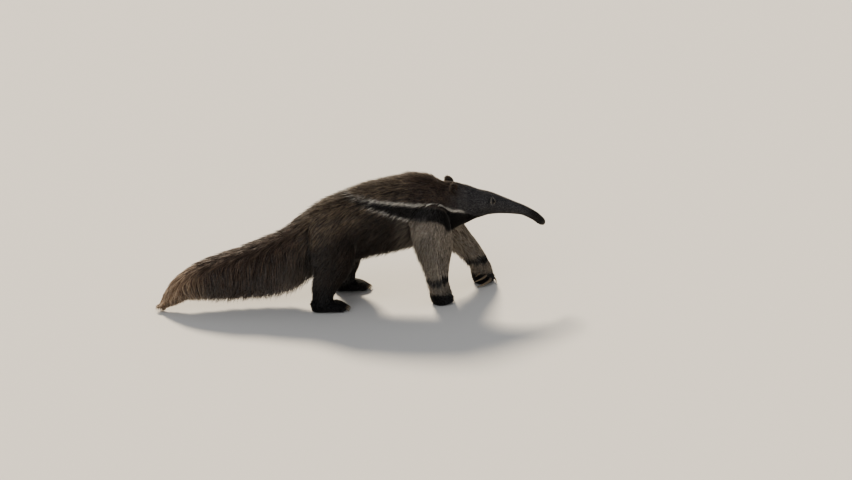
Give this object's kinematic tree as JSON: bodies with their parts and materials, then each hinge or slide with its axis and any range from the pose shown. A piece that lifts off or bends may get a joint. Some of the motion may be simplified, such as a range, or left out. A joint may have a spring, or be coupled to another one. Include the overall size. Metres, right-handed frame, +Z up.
{
  "type": "giant anteater",
  "caption": "Life-size still model of a giant anteater in mid stride, with a long tube snout, striped shoulders, folded digging claws and a hanging brush of a tail.",
  "frame": {"origin": "on the floor under the middle of the animal's bounding box", "axes": "+X towards the head, +Y towards the animal's left, +Z up"},
  "size_m": [1.6566, 0.3376, 0.5414],
  "materials": {
    "grey_coat": "short dense grizzled grey hair",
    "brown_coat": "long coarse grizzled brown hair",
    "dark_coat": "coarse black-brown hair",
    "pale_coat": "short pale grey-beige hair",
    "ear_skin": "thin skin with sparse short hair",
    "eyeball": "wet dark brown eye",
    "horn": "worn grey-brown claw horn"
  },
  "bodies": {
    "root": {"head": "grey_coat", "eye_right": "eyeball", "ear_right": "ear_skin", "eye_left": "eyeball", "ear_left": "ear_skin", "neck": "brown_coat", "torso": "dark_coat", "tail": "brown_coat", "foreleg_right": "pale_coat", "forepaw_right": "dark_coat", "foreclaw_right_first": "horn", "foreclaw_right_second": "horn", "foreclaw_right_third": "horn", "foreclaw_right_fourth": "horn", "hindleg_right": "dark_coat", "hindpaw_right": "dark_coat", "hindclaw_right_1": "horn", "hindclaw_right_2": "horn", "hindclaw_right_3": "horn", "hindclaw_right_4": "horn", "hindclaw_right_5": "horn", "foreleg_left": "pale_coat", "forepaw_left": "dark_coat", "foreclaw_left_first": "horn", "foreclaw_left_second": "horn", "foreclaw_left_third": "horn", "foreclaw_left_fourth": "horn", "hindleg_left": "dark_coat", "hindpaw_left": "dark_coat", "hindclaw_left_1": "horn", "hindclaw_left_2": "horn", "hindclaw_left_3": "horn", "hindclaw_left_4": "horn", "hindclaw_left_5": "horn"}
  },
  "joints": []
}
